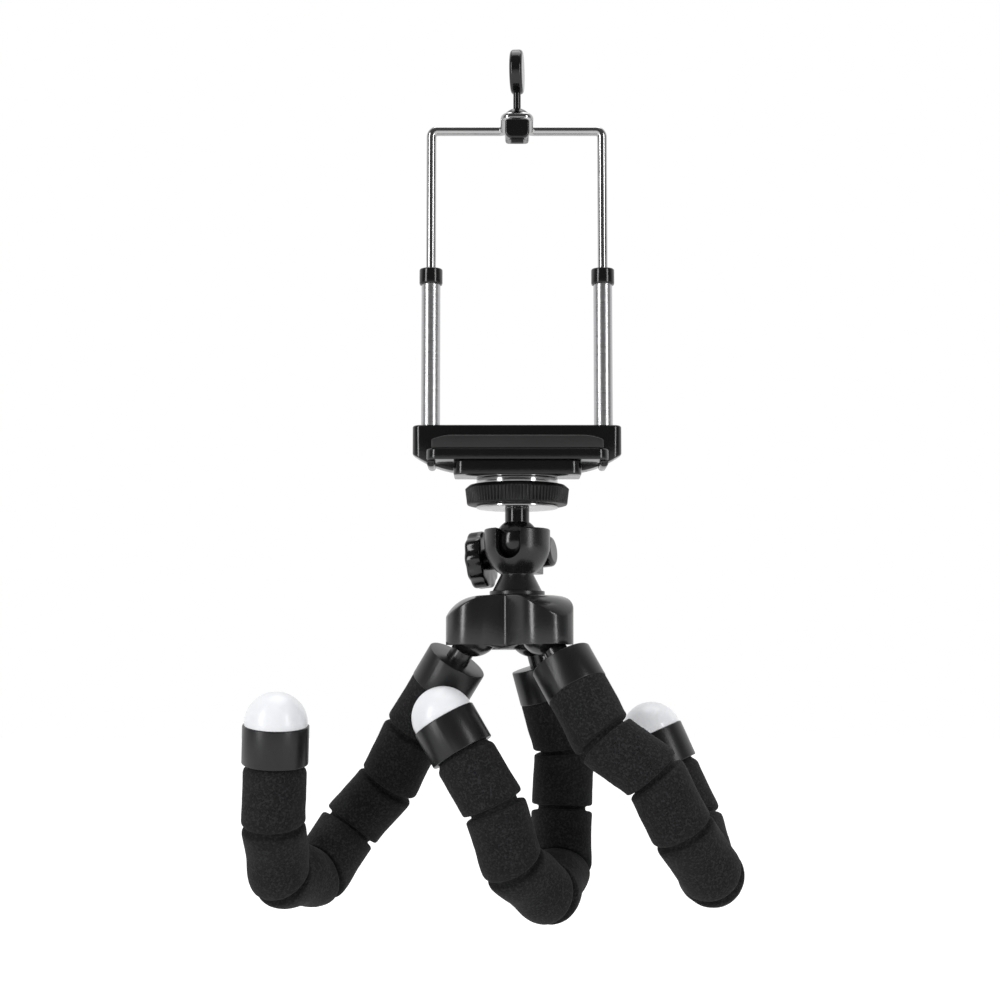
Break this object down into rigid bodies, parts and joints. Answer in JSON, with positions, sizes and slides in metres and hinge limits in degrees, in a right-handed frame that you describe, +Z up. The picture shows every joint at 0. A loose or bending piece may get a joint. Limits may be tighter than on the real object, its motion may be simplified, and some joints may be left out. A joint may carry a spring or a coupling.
{
  "type": "mini tripod",
  "caption": "Mini tripod with bendable sponge legs wrapped for gripping a bar, a ball head with a side knob, and a sprung wire-bow clip that holds a flat device.",
  "frame": {"origin": "on the axis that the three legs are wrapped round, straight below the middle of the head", "axes": "+X along the wrap axis to the right seen from the front, +Y to the back, +Z up along the head's axis"},
  "size_m": [0.1212, 0.0511, 0.2179],
  "materials": {
    "hub_plastic": "satin",
    "cup_plastic": "satin",
    "clip_plastic": "gloss",
    "ring_plastic": "satin",
    "collar_plastic": "satin",
    "foot_plastic": "gloss",
    "sponge": "matte",
    "pad_rubber": "matte",
    "chrome": "polished",
    "steel": "satin",
    "insert_brass": "satin",
    "core_wire": "satin"
  },
  "bodies": {
    "hub": {"hub": "hub_plastic", "head_screw": "steel", "ball_cup": "cup_plastic", "clamp_nut": "clip_plastic"},
    "clamp": {"clamp_screw": "steel", "clamp_knob": "clip_plastic"},
    "ball": {"ball_stem": "clip_plastic", "stud": "steel", "lower_washer": "chrome"},
    "ring": {"lock_ring": "ring_plastic"},
    "clip": {"upper_washer": "chrome", "thread_insert": "insert_brass", "clip_base": "clip_plastic", "base_screws": "steel", "clip_ledge": "clip_plastic", "clip_pad": "pad_rubber", "guide_tubes": "steel", "tube_caps": "clip_plastic", "bow_springs": "steel"},
    "bow": {"bow_wire": "chrome", "bow_stops": "steel", "hook": "clip_plastic", "hook_tongue": "pad_rubber"},
    "tab": {"finger_tab": "clip_plastic"},
    "leg_a_1": {"leg_a_neck": "hub_plastic", "leg_a_collar": "collar_plastic", "leg_a_core": "core_wire", "leg_a_foam_1": "sponge"},
    "leg_a_2": {"leg_a_foam_2": "sponge"},
    "leg_a_3": {"leg_a_foam_3": "sponge"},
    "leg_a_4": {"leg_a_foam_4": "sponge"},
    "leg_a_5": {"leg_a_foam_5": "sponge"},
    "leg_a_6": {"leg_a_foam_6": "sponge"},
    "leg_a_7": {"leg_a_foam_7": "sponge", "leg_a_foot_collar": "collar_plastic", "leg_a_foot_dome": "foot_plastic"},
    "leg_b_1": {"leg_b_neck": "hub_plastic", "leg_b_collar": "collar_plastic", "leg_b_core": "core_wire", "leg_b_foam_1": "sponge"},
    "leg_b_2": {"leg_b_foam_2": "sponge"},
    "leg_b_3": {"leg_b_foam_3": "sponge"},
    "leg_b_4": {"leg_b_foam_4": "sponge"},
    "leg_b_5": {"leg_b_foam_5": "sponge"},
    "leg_b_6": {"leg_b_foam_6": "sponge"},
    "leg_b_7": {"leg_b_foam_7": "sponge", "leg_b_foot_collar": "collar_plastic", "leg_b_foot_dome": "foot_plastic"},
    "leg_c_1": {"leg_c_neck": "hub_plastic", "leg_c_collar": "collar_plastic", "leg_c_core": "core_wire", "leg_c_foam_1": "sponge"},
    "leg_c_2": {"leg_c_foam_2": "sponge"},
    "leg_c_3": {"leg_c_foam_3": "sponge"},
    "leg_c_4": {"leg_c_foam_4": "sponge"},
    "leg_c_5": {"leg_c_foam_5": "sponge"},
    "leg_c_6": {"leg_c_foam_6": "sponge"},
    "leg_c_7": {"leg_c_foam_7": "sponge", "leg_c_foot_collar": "collar_plastic", "leg_c_foot_dome": "foot_plastic"}
  },
  "joints": [
    {"name": "leg_a_root", "type": "hinge", "parent": "hub", "child": "leg_a_1", "pos_m": [-0.01069, -0.0015, 0.0478], "axis": [0.4912, 0.8711, 0], "range_deg": [-7, 4]},
    {"name": "leg_a_bend_1", "type": "hinge", "parent": "leg_a_1", "child": "leg_a_2", "pos_m": [-0.026, 0.00713, 0.02274], "axis": [-0.7254, -0.6528, 0.2182], "range_deg": [-5.3, 8], "deforming": ["leg_a_core"]},
    {"name": "leg_a_bend_2", "type": "hinge", "parent": "leg_a_2", "child": "leg_a_3", "pos_m": [-0.03281, 0.01036, 0.00978], "axis": [0, 0.9703, 0.2419], "range_deg": [-13, 8], "deforming": ["leg_a_core"]},
    {"name": "leg_a_bend_3", "type": "hinge", "parent": "leg_a_3", "child": "leg_a_4", "pos_m": [-0.04245, 0.01314, -0.00137], "axis": [-0.766, -0.1627, 0.6219], "range_deg": [-40.5, 6], "deforming": ["leg_a_core"]},
    {"name": "leg_a_bend_4", "type": "hinge", "parent": "leg_a_4", "child": "leg_a_5", "pos_m": [-0.04972, 0.0058, -0.01225], "axis": [-0.8313, 0.5153, 0.2083], "range_deg": [-51.4, 4], "deforming": ["leg_a_core"]},
    {"name": "leg_a_bend_5", "type": "hinge", "parent": "leg_a_5", "child": "leg_a_6", "pos_m": [-0.05744, -0.00702, -0.01135], "axis": [-0.821, 0.5122, 0.2523], "range_deg": [-57.4, 3], "deforming": ["leg_a_core"]},
    {"name": "leg_a_bend_6", "type": "hinge", "parent": "leg_a_6", "child": "leg_a_7", "pos_m": [-0.05849, -0.01495, 0.00134], "axis": [-0.9609, 0.2635, 0.0854], "range_deg": [-21.8, 6], "deforming": ["leg_a_core"]},
    {"name": "leg_b_root", "type": "hinge", "parent": "hub", "child": "leg_b_1", "pos_m": [0.00405, 0.01001, 0.0478], "axis": [0.3093, -0.951, 0], "range_deg": [-16, 12]},
    {"name": "leg_b_bend_1", "type": "hinge", "parent": "leg_b_1", "child": "leg_b_2", "pos_m": [0.01197, 0.01259, 0.01835], "axis": [0.1145, 0.9865, 0.1171], "range_deg": [-17.1, 8], "deforming": ["leg_b_core"]},
    {"name": "leg_b_bend_2", "type": "hinge", "parent": "leg_b_2", "child": "leg_b_3", "pos_m": [0.01144, 0.01442, 0.00348], "axis": [-0.9994, 0.0031, 0.0355], "range_deg": [-24, 1], "deforming": ["leg_b_core"]},
    {"name": "leg_b_bend_3", "type": "hinge", "parent": "leg_b_3", "child": "leg_b_4", "pos_m": [0.01092, 0.01003, -0.01086], "axis": [-0.9601, 0.2753, -0.0491], "range_deg": [-52.7, 1], "deforming": ["leg_b_core"]},
    {"name": "leg_b_bend_4", "type": "hinge", "parent": "leg_b_4", "child": "leg_b_5", "pos_m": [0.00729, -0.00355, -0.01608], "axis": [-0.8261, 0.3803, -0.4159], "range_deg": [-57.5, 1], "deforming": ["leg_b_core"]},
    {"name": "leg_b_bend_5", "type": "hinge", "parent": "leg_b_5", "child": "leg_b_6", "pos_m": [-0.0011, -0.01322, -0.00825], "axis": [-0.7987, 0.5873, -0.1307], "range_deg": [-37.4, 1], "deforming": ["leg_b_core"]},
    {"name": "leg_b_bend_6", "type": "hinge", "parent": "leg_b_6", "child": "leg_b_7", "pos_m": [-0.00573, -0.01643, 0.00565], "axis": [-0.7692, -0.5168, -0.3758], "range_deg": [-22.6, 1], "deforming": ["leg_b_core"]},
    {"name": "leg_c_root", "type": "hinge", "parent": "hub", "child": "leg_c_1", "pos_m": [0.00665, -0.00851, 0.0478], "axis": [-0.5573, -0.8303, 0], "range_deg": [-15, 6]},
    {"name": "leg_c_bend_1", "type": "hinge", "parent": "leg_c_1", "child": "leg_c_2", "pos_m": [0.02054, -0.01784, 0.02218], "axis": [0.3408, -0.8089, 0.4792], "range_deg": [-28.1, 8], "deforming": ["leg_c_core"]},
    {"name": "leg_c_bend_2", "type": "hinge", "parent": "leg_c_2", "child": "leg_c_3", "pos_m": [0.03236, -0.01832, 0.01296], "axis": [0.2421, 0.9344, 0.2613], "range_deg": [-25.4, 8], "deforming": ["leg_c_core"]},
    {"name": "leg_c_bend_3", "type": "hinge", "parent": "leg_c_3", "child": "leg_c_4", "pos_m": [0.0394, -0.01648, -0.00016], "axis": [0.8657, -0.2586, 0.4285], "range_deg": [-22.8, 6], "deforming": ["leg_c_core"]},
    {"name": "leg_c_bend_4", "type": "hinge", "parent": "leg_c_4", "child": "leg_c_5", "pos_m": [0.0469, -0.00921, -0.01093], "axis": [0.8202, 0.0013, 0.5721], "range_deg": [-57.4, 1], "deforming": ["leg_c_core"]},
    {"name": "leg_c_bend_5", "type": "hinge", "parent": "leg_c_5", "child": "leg_c_6", "pos_m": [0.04743, 0.00576, -0.01171], "axis": [0.9686, -0.0209, 0.2479], "range_deg": [-58.2, 2], "deforming": ["leg_c_core"]},
    {"name": "leg_c_bend_6", "type": "hinge", "parent": "leg_c_6", "child": "leg_c_7", "pos_m": [0.04457, 0.01441, 0.0002], "axis": [0.8711, -0.2734, 0.4079], "range_deg": [-33.1, 6], "deforming": ["leg_c_core"]},
    {"name": "ball_tilt", "type": "hinge", "parent": "hub", "child": "ball", "pos_m": [0, 0, 0.0705], "axis": [0.9511, -0.309, 0], "range_deg": [-20, 90]},
    {"name": "clip_swivel", "type": "hinge", "parent": "ball", "child": "clip", "pos_m": [0, 0, 0.0705], "axis": [0, 0, 1], "continuous": true},
    {"name": "lock_ring_turn", "type": "hinge", "parent": "ball", "child": "ring", "pos_m": [0, 0, 0.07935], "axis": [0, 0, 1], "continuous": true},
    {"name": "clamp_turn", "type": "hinge", "parent": "hub", "child": "clamp", "pos_m": [0.00229, 0.00704, 0.06756], "axis": [-0.9458, 0.3073, -0.1045], "range_deg": [0, 180]},
    {"name": "bow_slide", "type": "slide", "parent": "clip", "child": "bow", "axis": [0, 0, 1], "range_m": [-0.022, 0.007], "stiffness_N_per_m": 120, "deforming": ["bow_springs"]},
    {"name": "tab_turn", "type": "hinge", "parent": "bow", "child": "tab", "pos_m": [0, -0.0049, 0.1781], "axis": [0, 0, 1], "continuous": true}
  ]
}
